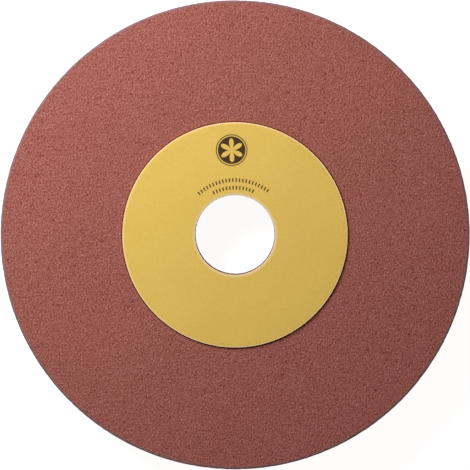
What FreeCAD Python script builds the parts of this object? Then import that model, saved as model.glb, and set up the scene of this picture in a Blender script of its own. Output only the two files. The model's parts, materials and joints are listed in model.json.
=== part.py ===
import FreeCAD, Part
import math
import os

# A straight grinding wheel: a ring of bonded abrasive with a plain bore, and a
# card blotter glued to each face, on which the clamping flanges bear.
# Lengths are in millimetres. +Z runs along the bore, out of the front face.
# The wheel lies on its rear blotter, whose outer face is the plane z = 0, and
# the bore's axis passes through the origin.

# Abrasive ring
wheel_diameter = 300.0
wheel_thickness = 32.0
bore_diameter = 50.8
rim_chamfer = 0.6  # the broken corner round each edge of the rim
bore_chamfer = 0.5  # the broken corner at each mouth of the bore

# Card blotters, both punched with one tool
blotter_diameter = 144.0
blotter_thickness = 1.0
blotter_hole_clearance = 0.3  # radial, so that the card stays clear of the spindle
blotter_edge_radius = 0.3  # the cut edges, rolled over on the outer side

# Planes that the pieces share
rear_face_z = blotter_thickness
front_face_z = rear_face_z + wheel_thickness

SPINDLE_AXIS = FreeCAD.Vector(0, 0, 1)
ORIGIN = FreeCAD.Vector(0, 0, 0)


def section_point(radius, z):
    """A point of a half section, which is drawn in the XZ plane."""
    return FreeCAD.Vector(radius, 0, z)


def straight(start, end):
    return Part.LineSegment(start, end).toShape()


def turned(edges):
    """The solid that a closed half section sweeps in one turn round the bore's axis."""
    section = Part.Face(Part.Wire(edges))
    solid = section.revolve(ORIGIN, SPINDLE_AXIS, 360)
    if solid.Volume < 0:
        solid.reverse()
    return solid


def make_abrasive_wheel():
    """The pressed and fired ring, with flat sides, a true rim and its corners broken."""
    bore = bore_diameter / 2
    rim = wheel_diameter / 2
    corners = [
        section_point(bore, rear_face_z + bore_chamfer),
        section_point(bore + bore_chamfer, rear_face_z),
        section_point(rim - rim_chamfer, rear_face_z),
        section_point(rim, rear_face_z + rim_chamfer),
        section_point(rim, front_face_z - rim_chamfer),
        section_point(rim - rim_chamfer, front_face_z),
        section_point(bore + bore_chamfer, front_face_z),
        section_point(bore, front_face_z - bore_chamfer),
    ]
    following = corners[1:] + corners[:1]
    return turned([straight(a, b) for a, b in zip(corners, following)])


def make_blotter(seat_z, outward):
    """A card washer glued down at seat_z. outward is +1 on the front face and -1 on the rear."""
    hole = bore_diameter / 2 + blotter_hole_clearance
    rim = blotter_diameter / 2
    roll = min(blotter_edge_radius, 0.45 * blotter_thickness)
    face_z = seat_z + outward * blotter_thickness
    shoulder_z = face_z - outward * roll
    short_leg = roll * (1 - math.cos(math.radians(45)))
    mid_z = face_z - outward * short_leg

    hole_seat = section_point(hole, seat_z)
    hole_shoulder = section_point(hole, shoulder_z)
    hole_arc_mid = section_point(hole + short_leg, mid_z)
    hole_face = section_point(hole + roll, face_z)
    rim_face = section_point(rim - roll, face_z)
    rim_arc_mid = section_point(rim - short_leg, mid_z)
    rim_shoulder = section_point(rim, shoulder_z)
    rim_seat = section_point(rim, seat_z)
    return turned(
        [
            straight(hole_seat, hole_shoulder),
            Part.Arc(hole_shoulder, hole_arc_mid, hole_face).toShape(),
            straight(hole_face, rim_face),
            Part.Arc(rim_face, rim_arc_mid, rim_shoulder).toShape(),
            straight(rim_shoulder, rim_seat),
            straight(rim_seat, hole_seat),
        ]
    )


def main():
    pieces = {
        "abrasive_wheel": make_abrasive_wheel(),
        "front_blotter": make_blotter(front_face_z, +1),
        "rear_blotter": make_blotter(rear_face_z, -1),
    }
    os.makedirs("parts", exist_ok=True)
    for node, solid in pieces.items():
        solid.exportStep(f"parts/{node}.step")
        print(f"{node}: {solid.Volume / 1000:.1f} cm3, valid {solid.isValid()}")


main()
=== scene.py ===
import json
import math
import random

import bpy
import numpy as np
from mathutils import Matrix, Vector, noise


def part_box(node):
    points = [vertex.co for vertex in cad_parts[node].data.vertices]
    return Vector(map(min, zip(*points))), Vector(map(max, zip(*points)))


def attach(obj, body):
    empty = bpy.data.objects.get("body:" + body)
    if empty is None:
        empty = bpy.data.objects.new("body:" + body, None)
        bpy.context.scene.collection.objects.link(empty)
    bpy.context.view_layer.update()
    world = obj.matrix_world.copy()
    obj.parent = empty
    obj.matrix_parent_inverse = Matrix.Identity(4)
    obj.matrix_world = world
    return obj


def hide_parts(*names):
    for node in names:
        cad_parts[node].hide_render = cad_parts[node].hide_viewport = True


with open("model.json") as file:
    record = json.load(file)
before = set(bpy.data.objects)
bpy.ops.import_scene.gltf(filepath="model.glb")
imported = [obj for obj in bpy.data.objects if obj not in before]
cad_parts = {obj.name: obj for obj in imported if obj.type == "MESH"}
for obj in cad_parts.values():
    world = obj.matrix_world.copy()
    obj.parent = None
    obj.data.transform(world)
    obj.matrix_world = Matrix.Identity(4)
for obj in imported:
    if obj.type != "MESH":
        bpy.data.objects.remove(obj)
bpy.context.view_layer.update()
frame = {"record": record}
print("frame loaded")

# A straight grinding wheel lying on its rear face: a fired ring of red-brown abrasive, a gold
# card on the front and a plain card behind. Lengths in this file are in millimetres.
mm = 0.001  # Blender's unit is the metre
turn = 2 * math.pi


class Socket:  # one output of a node, on which sums are written as Python expressions
    def __init__(self, finish, output):
        self.finish = finish
        self.output = output

    def pick(self, name):  # another output of the same node
        return Socket(self.finish, self.output.node.outputs[name])

    def __add__(self, other):
        return self.finish.maths("ADD", self, other)

    def __radd__(self, other):
        return self.finish.maths("ADD", other, self)

    def __sub__(self, other):
        return self.finish.maths("SUBTRACT", self, other)

    def __rsub__(self, other):
        return self.finish.maths("SUBTRACT", other, self)

    def __mul__(self, other):
        return self.finish.maths("MULTIPLY", self, other)

    def __rmul__(self, other):
        return self.finish.maths("MULTIPLY", other, self)

    def __pow__(self, other):
        return self.finish.maths("POWER", self, other)

    def __abs__(self):
        return self.finish.maths("ABSOLUTE", self)


class Finish:  # a material and the nodes that make it
    def __init__(self, name):
        self.material = bpy.data.materials.new(name)
        self.material.use_nodes = True
        self.tree = self.material.node_tree
        self.tree.nodes.clear()

    def add(self, kind, settings=None, inputs=None):
        node = self.tree.nodes.new(kind)
        for name, value in (settings or {}).items():
            if name == "stops":
                self.setStops(node.color_ramp, value)
            else:
                setattr(node, name, value)
        named = {s.name: s for s in node.inputs if s.enabled}
        for name, value in (inputs or {}).items():
            socket = node.inputs[name] if isinstance(name, int) else named[name]
            if isinstance(value, Socket):
                self.tree.links.new(value.output, socket)
            else:
                socket.default_value = value
        outputs = [s for s in node.outputs if s.enabled]
        return Socket(self, outputs[0]) if outputs else None

    def setStops(self, ramp, stops):
        while len(ramp.elements) < len(stops):
            ramp.elements.new(1.0)
        for element, (position, colour) in zip(ramp.elements, stops):
            element.position = position
            element.color = colour

    def place(self):  # where a point lies on the object, in millimetres
        where = self.add("ShaderNodeTexCoord").pick("Object")
        return self.vector("SCALE", {"Vector": where, "Scale": 1 / mm})

    def maths(self, operation, *values):
        return self.add("ShaderNodeMath", {"operation": operation}, dict(enumerate(values)))

    def vector(self, operation, inputs):
        return self.add("ShaderNodeVectorMath", {"operation": operation}, inputs)

    def split(self, vector):
        parts = self.add("ShaderNodeSeparateXYZ", {}, {"Vector": vector})
        return parts.pick("X"), parts.pick("Y"), parts.pick("Z")

    def noise(self, place, size, detail=0.0, roughness=0.5):  # size is that of one blob
        values = {"Vector": place, "Scale": 1 / size, "Detail": detail, "Roughness": roughness}
        return self.add("ShaderNodeTexNoise", {}, values)

    def cells(self, place, size):  # how far off the nearest cell's point is, in cell sizes
        return self.add("ShaderNodeTexVoronoi", {}, {"Vector": place, "Scale": 1 / size})

    def ease(self, value, start, end):  # 0 up to start and 1 from end on
        values = {"Value": value, "From Min": start, "From Max": end}
        return self.add("ShaderNodeMapRange", {"interpolation_type": "SMOOTHSTEP"}, values)

    def band(self, value, start, end, soft):  # 1 between start and end
        rise = self.ease(value, start - soft, start + soft)
        fall = self.ease(value, end - soft, end + soft)
        return rise * (1 - fall)

    def mix(self, share, first, second):
        values = {"Factor": share, "A": first, "B": second}
        return self.add("ShaderNodeMix", {"data_type": "RGBA"}, values)

    def bump(self, height, depth, strength=1.0):
        values = {"Height": height, "Distance": depth * mm, "Strength": strength}
        return self.add("ShaderNodeBump", {}, values)

    def surface(self, values):
        shader = self.add("ShaderNodeBsdfPrincipled", {}, values)
        self.add("ShaderNodeOutputMaterial", {}, {"Surface": shader})
        return self.material


def paint(red, green, blue):  # a colour by its screen levels, 0 to 255
    levels = [v / 255 for v in (red, green, blue)]
    return [v / 12.92 if v < 0.04 else ((v + 0.055) / 1.055) ** 2.4 for v in levels] + [1.0]


def distance(x, y):
    return (x ** 2 + y ** 2) ** 0.5


def level(value):  # brings noise from between -1 and 1 to between 0 and 1
    return 0.5 + 0.5 * value


def around(angle):  # the way out from the axis
    return Vector((math.cos(angle), math.sin(angle), 0))


def addPiece(name, points, faces, material):
    mesh = bpy.data.meshes.new(name)
    mesh.from_pydata(np.asarray(points) * mm, [], faces)
    mesh.materials.append(material)
    mesh.shade_smooth()
    piece = bpy.data.objects.new(name, mesh)
    bpy.context.scene.collection.objects.link(piece)
    return piece


# Sizes that the frame gives
wheelLow, wheelHigh = (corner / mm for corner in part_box("abrasive_wheel"))
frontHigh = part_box("front_blotter")[1] / mm
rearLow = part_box("rear_blotter")[0] / mm
mounts = {m["name"]: m for m in frame["record"]["mounts"]}
boreRadius = mounts["spindle_bore"]["dims"]["r_mm"]
rimRadius = wheelHigh.x
cardRadius = frontHigh.x


abrasiveRing = {
    "rimCorner": 0.42,  # the broken corner round each edge of the rim
    "boreCorner": 0.5,
    # from one point of the surface to the next
    "pitch": {"front": 1.05, "rim": 1.45, "bore": 1.3, "rear": 1.95, "hidden": 3.4},
    "hiddenMargin": 3.0,  # how far the fine surface runs on under a card
    "hiddenDepth": 0.1,  # how far the surface lies back where a card covers it
    "stray": 0.34,  # how far a point strays from its place, as a share of the pitch
    "relief": {"front": 0.08, "rear": 0.14, "rim": 0.1, "bore": 0.12},  # hollows between grains
    "reliefBias": 1.4,  # above 1, shallow hollows outnumber deep ones
    "swell": 0.03,  # slow unevenness of the pressed face
    "swellSize": 9.0,
    "poreCell": 5.2,  # one open pore or none to each cell of this size
    "poreRadius": (0.3, 0.75),
    "poreDepth": 0.5,
    "poreScatter": 7.3,  # another number deals the pores' sizes out anew
    "fullDepth": 0.35,  # hollows this deep take the whole of the painted shade
    "chipSize": 3.4,  # length of the nicks along the rim's corners
    "chipReach": 1.7,
    "chipDepth": 0.76,
    "chipGap": 0.2,  # a higher number leaves fewer nicks
    "rubReach": 3.4,  # how far from a corner the handled surface is rubbed dull and carries a painted sheen
    "seed": 11,
}

# Where the ring's parts lie on the flat map that its textures are baked to
ringLayout = {
    "discRadius": 0.296,
    "front": (0.3, 0.7),  # middle of the front face
    "rear": (0.73, 0.27),
    "rearShare": 0.9,  # the rear face is laid out smaller
    "strip": (0.612, 0.922),  # start of the first strip of the rim
    "stripStep": 0.07,
    "rimStrips": 5,  # the bore's strip comes after them
}


def ringSection(v):
    # corners once round the half section, the surface that runs on from each, and its side
    r0, r1 = boreRadius, rimRadius
    z0, z1 = wheelLow.z, wheelHigh.z
    c0, c1 = v["boreCorner"], v["rimCorner"]
    under = cardRadius - v["hiddenMargin"]
    corners = [
        (r0 + c0, z0, "hidden", "rear"),
        (under, z0, "rear", "rear"),
        (r1 - c1, z0, "rim", "rim"),
        (r1, z0 + c1, "rim", "rim"),
        (r1, z1 - c1, "rim", "rim"),
        (r1 - c1, z1, "front", "front"),
        (under, z1, "hidden", "front"),
        (r0 + c0, z1, "bore", "bore"),
        (r0, z1 - c0, "bore", "bore"),
        (r0, z0 + c0, "bore", "bore"),
    ]
    rows = []
    leanBefore = None
    for n, (r, z, surface, side) in enumerate(corners):
        nextR, nextZ = corners[(n + 1) % len(corners)][:2]
        length = math.hypot(nextR - r, nextZ - z)
        lean = ((nextZ - z) / length, (r - nextR) / length)  # outward, across and up
        steps = max(1, round(length / v["pitch"][surface]))
        for k in range(steps):
            share = k / steps
            rows.append({
                "r": r + (nextR - r) * share,
                "z": z + (nextZ - z) * share,
                "along": (-lean[1] * length / steps, lean[0] * length / steps),
                "lean": lean,
                "before": leanBefore if k == 0 else None,
                "pitch": v["pitch"][surface],
                "side": side,
                "fine": surface != "hidden",
            })
        leanBefore = lean
    rows[0]["before"] = leanBefore
    return rows


def stitch(first, second):
    # triangles between two rings of points, each a start index and angles in order
    (startA, a), (startB, b) = first, second
    endA, endB = [*a, a[0] + turn], [*b, b[0] + turn]
    faces = []
    i = j = 0
    while i < len(a) or j < len(b):
        ahead = i < len(a) and (j == len(b) or endA[i] + endA[i + 1] < endB[j] + endB[j + 1])
        here = startA + i % len(a), startB + j % len(b)
        if ahead:
            i += 1
            faces.append((here[0], startA + i % len(a), here[1]))
        else:
            j += 1
            faces.append((here[0], startB + j % len(b), here[1]))
    return faces


def hollow(point, row, v, draw):
    # how far the fired surface lies below the true one, and how deep in a pore it is
    if not row["fine"]:
        return v["hiddenDepth"], 0.0
    grain = v["relief"][row["side"]] * draw.random() ** v["reliefBias"]
    swell = v["swell"] * level(noise.noise(point / v["swellSize"]))
    cell = v["poreCell"]
    away, centres = noise.voronoi(point / cell)
    least, most = v["poreRadius"]
    radius = least + (most - least) * level(noise.cell(centres[0] * v["poreScatter"]))
    pore = max(0.0, 1 - (away[0] * cell / radius) ** 2) ** 0.5
    return grain + swell + v["poreDepth"] * pore, pore


def nick(point, v):
    # small chips along both corners of the rim, and how near a corner the surface is, for its
    # rubbed dust and painted sheen
    across = math.hypot(point.x, point.y)
    nearest = min(wheelHigh.z - point.z, point.z - wheelLow.z)
    away = math.hypot(rimRadius - across, nearest)
    edge = max(0.0, 1 - away / v["chipReach"])
    chip = max(0.0, noise.noise(point / v["chipSize"]) - v["chipGap"])
    return edge * v["chipDepth"] * chip, max(0.0, 1 - away / v["rubReach"])


def ringMap(angle, r, z, side, start, v):
    # two discs for the faces, and strips for the rim and the bore
    scale = v["discRadius"] / rimRadius
    if side == "front":
        middle = v["front"]
        return middle[0] + r * math.cos(angle) * scale, middle[1] + r * math.sin(angle) * scale
    if side == "rear":
        middle, scale = v["rear"], scale * v["rearShare"]
        return middle[0] - r * math.cos(angle) * scale, middle[1] + r * math.sin(angle) * scale
    strips = v["rimStrips"]
    strip = strips if side == "bore" else int(start / turn * strips)
    begin = 0.0 if side == "bore" else strip * turn / strips
    radius = boreRadius if side == "bore" else rimRadius
    left, top = v["strip"]
    return left + (angle - begin) * radius * scale, top - v["stripStep"] * strip + z * scale


def ringFaces(rows, rings, where, plan):
    # triangles from row to row, and where their corners lie on the flat map
    faces, layout = [], []
    for n, row in enumerate(rows):
        for face in stitch(rings[n], rings[(n + 1) % len(rings)]):
            faces.append(face)
            angles = [where[i][0] % turn for i in face]
            if max(angles) - min(angles) > turn / 2:  # the face spans the start of the turn
                angles = [a + turn if a < turn / 2 else a for a in angles]
            start = min(min(angles), turn - 1e-6)  # a whole turn would need one more strip
            for i, angle in zip(face, angles):
                layout.append(ringMap(angle, where[i][1], where[i][2], row["side"], start, plan))
    return faces, layout


def makeRing(v, plan, material):
    draw = random.Random(v["seed"])
    points, rings, shadesAndWear, where = [], [], [], []
    rows = ringSection(v)
    for row in rows:
        count = round(turn * row["r"] / row["pitch"])
        offset = draw.random()
        angles = []
        for k in range(count):
            angles.append((k + offset + draw.uniform(-1, 1) * v["stray"]) / count * turn)
        rings.append((len(points), angles))
        lean = Vector((*row["lean"], 0))
        if row["before"]:  # on a corner the surface leans halfway
            lean = (lean + Vector((*row["before"], 0))).normalized()
        for angle in angles:
            slide = 0.0 if row["before"] else draw.uniform(-1, 1) * v["stray"]
            r = row["r"] + row["along"][0] * slide
            z = row["z"] + row["along"][1] * slide
            out = around(angle)
            point = out * r + Vector((0, 0, z))
            depth, pore = hollow(point, row, v, draw)
            chip, rubAndSheen = nick(point, v)
            normal = out * lean.x + Vector((0, 0, lean.y))
            points.append(point - normal * (depth + chip))
            shadesAndWear.append((min(1.0, depth / v["fullDepth"]), rubAndSheen, pore))
            where.append((angle, r, z))
    faces, layout = ringFaces(rows, rings, where, plan)
    piece = addPiece("grinding_ring", points, faces, material)
    # depth of the hollows for their painted shade, nearness to the rim's corners, and pores
    wear = piece.data.attributes.new("wear", "FLOAT_VECTOR", "POINT")
    wear.data.foreach_set("vector", np.array(shadesAndWear, np.float32).ravel())
    flat = piece.data.uv_layers.new(name="OFBake")
    flat.uv.foreach_set("vector", np.array(layout, np.float32).ravel())
    print("abrasive ring:", len(faces), "triangles")
    return piece


bondedAbrasive = {
    "grain": 0.42,  # size of one abrasive grain
    "coarse": 0.85,  # size of the few big ones
    "clump": 1.0,  # a whole share of both faces' heights, which keeps them even
    "patch": 24.0,  # slow changes of tone
    "ridge": 1.375,  # between ridges of grains, and a whole share of the front face's height too
    "ridgeHeight": 0.24,
    "grainHeight": 0.12,  # this and the next are shares of the ridge's height
    "pitHeight": 0.6,
    "stretch": (1.28, 0.86, 1.0),  # clumps and ridges run a little longer along Y
    "tones": [  # from hollows and shaded grains to pale ones
        (0.2, paint(118, 33, 15)),
        (0.5, paint(147.5, 83, 73.5)),
        (1.0, paint(188, 130, 121)),
    ],
    "grainShare": 0.21,
    "coarseShare": 4.5,
    "clumpShare": 0.64,
    "patchShare": 0.06,
    "cavityShare": 0.1,
    "cavityMean": 0.25,  # painted shade: what lies deeper gets darker, and the rest paler
    # painted shade in the pinholes and pores
    "pit": paint(88, 22, 12),
    "pitCell": 4.4,  # one pinhole or none to each cell of this size
    "pitRadius": (0.3, 0.55),  # the edge of a pinhole fades between these
    "pitStray": 0.5,
    "pitShare": 0.85,
    "poreShare": 0.4,
    "dust": paint(123, 97, 99),  # on the rubbed corners: dust, and a painted sheen where the corners catch the light
    "dustReach": (0.15, 0.95),
    "dustShare": 0.85,
    "glue": paint(82, 40, 0),  # painted shade round the front card's rim
    "glueWidth": (0.45, 0.6),  # at least, and how much more at most
    "glueSoft": 0.2,
    "stain": paint(158, 100, 48),  # painted warm light thrown from the gold card onto the ring
    "stainReach": (-0.6, 2.8),  # fades out between these, counted from the card's rim
    "stainShare": 0.6,
    "stainDepth": (2.0, 1.0),  # below the front face: no painted shade or warm light under the first
    "soot": paint(74, 40, 26),  # painted shade in the bore
    "sootReach": (0.2, 0.5),  # fades out between these, counted from the bore's wall
    "sootShare": 0.7,
    "roughness": 0.84,
    "roughnessStray": 0.2,
    "specular": 0.3,
}


def makeBondedAbrasive(v):
    finish = Finish("bonded_abrasive")
    place = finish.place()
    x, y, z = finish.split(place)
    radius = distance(x, y)
    grains = finish.cells(place, v["grain"])
    toss = finish.add("ShaderNodeSeparateColor", {}, {"Color": grains.pick("Color")})
    coarse = finish.cells(place, v["coarse"]).pick("Color")
    stray = finish.add("ShaderNodeSeparateColor", {}, {"Color": coarse}) - 0.5
    stretched = finish.vector("MULTIPLY", {0: place, 1: v["stretch"]})
    clumps = finish.noise(stretched, v["clump"])
    ridges = finish.noise(stretched, v["ridge"])
    patches = finish.noise(place, v["patch"], detail=3.0)
    wear = finish.add("ShaderNodeAttribute", {"attribute_name": "wear"}).pick("Vector")
    cavity, rubAndSheen, pore = finish.split(wear)

    tone = 0.5 + (toss - 0.5) * v["grainShare"] + (clumps - 0.5) * v["clumpShare"]
    tone = tone + stray ** 5 * v["coarseShare"]  # the power leaves only a few that stand out
    # painted shade in the hollows, paler on the tops
    tone = tone + (patches - 0.5) * v["patchShare"] - (cavity - v["cavityMean"]) * v["cavityShare"]
    colour = finish.add("ShaderNodeValToRGB", {"stops": v["tones"]}, {"Fac": tone})

    away = finish.cells(place, v["pitCell"]) * v["pitCell"] + (clumps - 0.5) * v["pitStray"]
    pit = 1 - finish.ease(away, *v["pitRadius"])
    # painted shade in the pinholes and the ring's pores
    holeShade = finish.maths("MAXIMUM", pit * v["pitShare"], pore * v["poreShare"])
    colour = finish.mix(holeShade, colour, v["pit"])
    # dust and painted sheen on the rim's corners
    colour = finish.mix(finish.ease(rubAndSheen, *v["dustReach"]) * v["dustShare"], colour, v["dust"])

    none, full = v["stainDepth"]
    face = finish.ease(z, wheelHigh.z - none, wheelHigh.z - full)
    # painted warm light from the gold card, fading out from its rim
    start, end = v["stainReach"]
    stain = 1 - finish.ease(radius, cardRadius + start, cardRadius + end)
    colour = finish.mix(stain * face * v["stainShare"], colour, v["stain"])
    # painted shade along the front card's rim
    least, more = v["glueWidth"]
    reach = cardRadius + least + clumps * more
    glue = 1 - finish.ease(radius, reach - v["glueSoft"], reach + v["glueSoft"])
    colour = finish.mix(glue * face, colour, v["glue"])

    # painted shade on the bore's wall
    start, end = v["sootReach"]
    soot = 1 - finish.ease(radius, boreRadius + start, boreRadius + end)
    colour = finish.mix(soot * v["sootShare"], colour, v["soot"])

    height = ridges + (1 - grains) * v["grainHeight"] - pit * v["pitHeight"]
    return finish.surface({
        "Base Color": colour,
        "Roughness": v["roughness"] + (toss.pick("Blue") - 0.5) * v["roughnessStray"],
        "Normal": finish.bump(height, v["ridgeHeight"]),
        "Specular IOR Level": v["specular"],
    })


ring = makeRing(abrasiveRing, ringLayout, makeBondedAbrasive(bondedAbrasive))
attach(ring, "root")
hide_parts("abrasive_wheel")


frontCard = {
    "name": "front_card",
    "seat": wheelHigh.z - 0.02,  # bedded a hair into the ring
    "face": frontHigh.z - 0.03,  # just inside the CAD card's height
    "holeRadius": boreRadius + 0.1,
    "rimRadius": cardRadius,
    "roll": 0.16,  # the punched edges, rolled over on the outer side
    "rollSteps": 5,
    "lip": 1.0,  # how far in from each edge the underside's last rows stand
    "rows": 22,
    "spokes": 600,
    "wave": 0.03,  # how far the glued card rises and falls
    "waveSize": 26.0,
    "fray": 0.05,
    "fraySize": 1.6,
    "frayReach": 0.4,  # of the roll
    "seed": 3.0,
}
rearCard = dict(frontCard, name="rear_card", seat=wheelLow.z + 0.02, face=rearLow.z, seed=8.0)


def cardSection(v, out):
    # points once round the half section, from the underside over the rim and back to the hole
    hole, rim, roll = v["holeRadius"], v["rimRadius"], v["roll"]
    seat, face, lip = v["seat"], v["face"], v["lip"]
    section = [(hole + lip, seat), (rim - lip, seat), (rim, seat)]
    steps = v["rollSteps"]
    bends = [k / steps * math.pi / 2 for k in range(steps + 1)]
    for a in bends:
        section.append((rim - roll + roll * math.cos(a), face - out * roll * (1 - math.sin(a))))
    for k in range(1, v["rows"]):
        section.append((rim - roll + (hole - rim + 2 * roll) * k / v["rows"], face))
    for a in bends:
        section.append((hole + roll - roll * math.sin(a), face - out * roll * (1 - math.cos(a))))
    section.append((hole, seat))
    return section


def makeCard(v, material):
    out = 1 if v["face"] > v["seat"] else -1
    hole, rim, count = v["holeRadius"], v["rimRadius"], v["spokes"]
    frayed = v["roll"] * v["frayReach"]
    section = cardSection(v, out)
    points, faces = [], []
    for r, z in section:
        for k in range(count):
            way = around(k / count * turn)
            spot = way * r
            wave = noise.noise(Vector((spot.x / v["waveSize"], spot.y / v["waveSize"], v["seed"])))
            fraying = Vector((spot.x / v["fraySize"], spot.y / v["fraySize"], v["seed"] + z))
            ragged = noise.noise(fraying)
            edge = r > rim - frayed or r < hole + frayed
            slip = v["fray"] * level(ragged) if edge else 0.0
            inward = slip if r < (hole + rim) / 2 else -slip
            drop = out * v["wave"] * level(wave)
            points.append(way * (r + inward) + Vector((0, 0, z - drop)))
    for n in range(len(section)):
        a, b = n * count, (n + 1) % len(section) * count
        for k in range(count):
            m = (k + 1) % count
            face = (a + k, a + m, b + m, b + k)
            faces.append(face if out > 0 else face[::-1])
    print(v["name"] + ":", 2 * len(faces), "triangles")
    return addPiece(v["name"], points, faces, material)


goldCard = {
    "gold": paint(224, 190, 96),
    "goldDeep": paint(213, 178, 79),
    "drift": 30.0,  # size of the slow changes of tone
    "driftShare": 0.6,
    "speckle": 0.9,
    "speckleShare": 1.6,
    "grain": 0.5,  # size of the card's own grain
    "grainHeight": 0.02,
    # bare card at the cut edges, lightened as a painted highlight
    "cutEdge": paint(244, 204, 158),
    "rimEdge": 0.7,  # width of the bare cut edge and its painted highlight, seen from the front
    "holeEdge": 0.35,
    "edgeStray": 0.2,
    "edgeSoft": 0.12,
    "worn": paint(222, 204, 152),  # where the gold thins out round the hole
    "wornWidth": 2.6,
    "ink": paint(50, 28, 2),
    "inkShare": 0.97,
    "inkStray": 0.06,
    "metallic": 0.06,
    "roughness": 0.66,
    "edgeRoughness": 0.25,  # this and the next two come on top
    "inkRoughness": 0.15,
    "grainRoughness": 0.08,
    "specular": 0.3,
}

# Plain printed ornament above the hole
ornament = {
    "lean": 2.3,  # degrees that the print is turned off the centre line
    "height": 54.2,  # from the axis to the middle of the rosette
    "ring": (9.5, 10.1),
    "disc": 8.8,
    "petals": 6,
    "petalReach": (0.9, 7.6),
    "tick": 0.85,  # width of the ticks in the rows
    "rows": [  # radius, length of a tick, pitch, and how many stand on each side
        (35.1, 2.4, 2.15, 11),
        (30.2, 2.3, 2.15, 6),
    ],
    "soft": 0.12,
    "depth": (0.3, 0.15),  # below the card's top: none under the first, and full above the second
}


def inkMask(finish, place, v):
    lean = math.radians(v["lean"])
    x, y, z = finish.split(place)
    across = x * math.cos(lean) + y * math.sin(lean)
    up = y * math.cos(lean) - x * math.sin(lean)
    soft = v["soft"]
    radius = distance(across, up)
    angle = finish.maths("ARCTAN2", across, up)
    mask = 0
    for r, length, pitch, count in v["rows"]:
        row = finish.band(radius, r - length / 2, r + length / 2, soft)
        steps = angle * (r / pitch)
        span = 1 - finish.ease(abs(steps), count + 0.4, count + 0.5)  # a row ends between two ticks
        beat = abs(finish.maths("FRACT", steps + 0.5) - 0.5) * pitch
        tick = 1 - finish.ease(beat, v["tick"] / 2 - soft, v["tick"] / 2 + soft)
        mask = mask + row * span * tick
    rise = up - v["height"]
    away = distance(across, rise)
    bearing = finish.maths("ARCTAN2", across, rise)
    near, far = v["petalReach"]
    petal = near + (far - near) * abs(finish.maths("COSINE", bearing * (v["petals"] / 2)))
    disc = 1 - finish.ease(away, v["disc"] - soft, v["disc"] + soft)
    mask = mask + disc * finish.ease(away - petal, -soft, soft)
    mask = mask + finish.band(away, *v["ring"], soft)
    none, full = v["depth"]
    return mask * finish.ease(z, frontHigh.z - none, frontHigh.z - full)


def makeGoldCard(v, marks):
    finish = Finish("gold_card")
    place = finish.place()
    radius = distance(*finish.split(place)[:2])
    grain = finish.noise(place, v["grain"], detail=3.0, roughness=0.6)
    drift = finish.noise(place, v["drift"], detail=2.0)
    speckle = finish.noise(place, v["speckle"], detail=1.0)
    ink = inkMask(finish, place, marks)

    ragged, soft = radius + (grain - 0.5) * v["edgeStray"], v["edgeSoft"]
    outer = finish.ease(ragged + v["rimEdge"], cardRadius - soft, cardRadius + soft)
    inner = 1 - finish.ease(ragged - v["holeEdge"], boreRadius, boreRadius + 2 * soft)
    edge = finish.maths("MAXIMUM", outer, inner)

    tone = 0.5 + (drift - 0.5) * v["driftShare"] + (speckle - 0.5) * v["speckleShare"]
    colour = finish.mix(tone, v["goldDeep"], v["gold"])
    worn = 1 - finish.ease(radius, boreRadius, boreRadius + v["wornWidth"])
    colour = finish.mix(worn, colour, v["worn"])
    # the bare cut edges, lightened as a painted highlight
    colour = finish.mix(edge, colour, v["cutEdge"])
    colour = finish.mix(ink * (v["inkShare"] + (grain - 0.5) * v["inkStray"]), colour, v["ink"])

    roughness = v["roughness"] + (grain - 0.5) * v["grainRoughness"]
    return finish.surface({
        "Base Color": colour,
        "Metallic": v["metallic"] * (1 - edge) * (1 - ink),
        "Roughness": roughness + edge * v["edgeRoughness"] + ink * v["inkRoughness"],
        "Normal": finish.bump(grain, v["grainHeight"], strength=0.4),
        "Specular IOR Level": v["specular"],
    })


plainCard = {
    "card": paint(188, 170, 140),
    "fibre": paint(150, 130, 100),
    "fibreSize": 0.5,
    "fibreStretch": (1.0, 0.25, 1.0),
    "fibreHeight": 0.04,
    "fibreShare": 0.7,
    "mottleSize": 9.0,
    "mottleShare": 0.3,
    "roughness": 0.85,
}


def makePlainCard(v):
    finish = Finish("plain_card")
    place = finish.place()
    stretched = finish.vector("MULTIPLY", {0: place, 1: v["fibreStretch"]})
    fibres = finish.noise(stretched, v["fibreSize"], detail=4.0, roughness=0.65)
    mottle = finish.noise(place, v["mottleSize"], detail=2.0)
    tone = fibres * v["fibreShare"] + mottle * v["mottleShare"]
    return finish.surface({
        "Base Color": finish.mix(tone, v["fibre"], v["card"]),
        "Roughness": v["roughness"],
        "Normal": finish.bump(fibres, v["fibreHeight"], strength=0.5),
    })


front = makeCard(frontCard, makeGoldCard(goldCard, ornament))
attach(front, "root")
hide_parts("front_blotter")
rear = makeCard(rearCard, makePlainCard(plainCard))
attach(rear, "root")
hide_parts("rear_blotter")


studio = {
    "floorSize": 12000.0,
    "floorDrop": 0.05,  # below the rear card
    "floorColour": (0.42, 0.42, 0.42, 1.0),
    "floorRoughness": 0.9,
    "floorGlow": 0.92,  # a light table, its glow left out under the wheel as painted shade
    "coverMargin": 2.0,
    "coverSoft": 1.5,
    "skyColour": (1.0, 0.9, 0.86, 1.0),
    "skyStrength": 0.17,
    "keyDistance": 815.0,
    "keyHeading": 130.0,  # degrees round from +X
    "keyElevation": 30.0,
    "keySize": 640.0,
    "keyPower": 12.2,  # watts
    "keyColour": (1.0, 1.0, 1.0),
}


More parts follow.
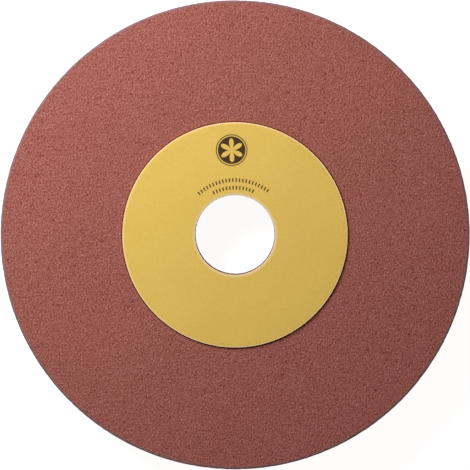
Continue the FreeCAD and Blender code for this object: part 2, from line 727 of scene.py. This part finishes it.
def makeFloor(v):
    finish = Finish("pale_floor")
    radius = distance(*finish.split(finish.place())[:2])
    # painted shade: the floor gives no glow under the wheel
    start, end = boreRadius + v["coverMargin"], rimRadius - v["coverMargin"]
    shadedUnderWheel = finish.band(radius, start, end, v["coverSoft"])
    white, black = (1, 1, 1, 1), (0, 0, 0, 1)
    paper = finish.surface({
        "Base Color": v["floorColour"],
        "Roughness": v["floorRoughness"],
        "Emission Color": finish.mix(shadedUnderWheel, white, black),
        "Emission Strength": v["floorGlow"],
    })
    half = v["floorSize"] / 2
    below = rearLow.z - v["floorDrop"]
    ends = ((-half, -half), (half, -half), (half, half), (-half, half))
    corners = [(x, y, below) for x, y in ends]
    addPiece("floor", corners, [(0, 1, 2, 3)], paper)


def makeLights(v):
    scene = bpy.context.scene
    scene.world = bpy.data.worlds.new("studio")
    scene.world.use_nodes = True
    sky = scene.world.node_tree.nodes["Background"]
    sky.inputs["Color"].default_value = v["skyColour"]
    sky.inputs["Strength"].default_value = v["skyStrength"]
    lamp = bpy.data.lights.new("key", "AREA")
    lamp.shape = "DISK"
    lamp.size = v["keySize"] * mm
    lamp.energy = v["keyPower"]
    lamp.color = v["keyColour"]
    key = bpy.data.objects.new("key", lamp)
    rise = math.radians(v["keyElevation"])
    way = around(math.radians(v["keyHeading"])) * math.cos(rise) + Vector((0, 0, math.sin(rise)))
    key.location = (way * v["keyDistance"] + Vector((0, 0, wheelHigh.z))) * mm
    key.rotation_euler = way.to_track_quat("Z", "Y").to_euler()
    scene.collection.objects.link(key)
    scene.view_settings.view_transform = "Standard"


photoCamera = {
    "height": 2600.0,  # above the front face
    "foot": (0.0, 42.0),  # the point of the face that it stands over
    "frameWidth": 470.0,  # pixels
    "wheelRadius": 234.72,  # pixels
    "wheelCentre": (235.05, 234.95),
    "sensor": 36.0,
    "clip": (0.1, 100.0),  # metres
}


def makeCamera(v):
    face = wheelHigh.z - abrasiveRing["rimCorner"]
    eye = Vector((*v["foot"], face + v["height"]))
    pixel = rimRadius / v["wheelRadius"]
    middle = v["frameWidth"] / 2
    across, down = v["wheelCentre"]
    aim = Vector(((middle - across) * pixel, (down - middle) * pixel, face))
    lens = bpy.data.cameras.new("camera")
    lens.sensor_width = v["sensor"]
    lens.lens = v["sensor"] * (eye - aim).length / (v["frameWidth"] * pixel)
    lens.clip_start, lens.clip_end = v["clip"]
    camera = bpy.data.objects.new("camera", lens)
    back = (eye - aim).normalized()
    right = Vector((0, 1, 0)).cross(back).normalized()  # so that +Y is up in the picture
    axes = Matrix((right, back.cross(right), back)).transposed()
    camera.matrix_world = Matrix.Translation(eye * mm) @ axes.to_4x4()
    bpy.context.scene.collection.objects.link(camera)
    bpy.context.scene.camera = camera


makeFloor(studio)
makeLights(studio)
makeCamera(photoCamera)
print("studio ready")
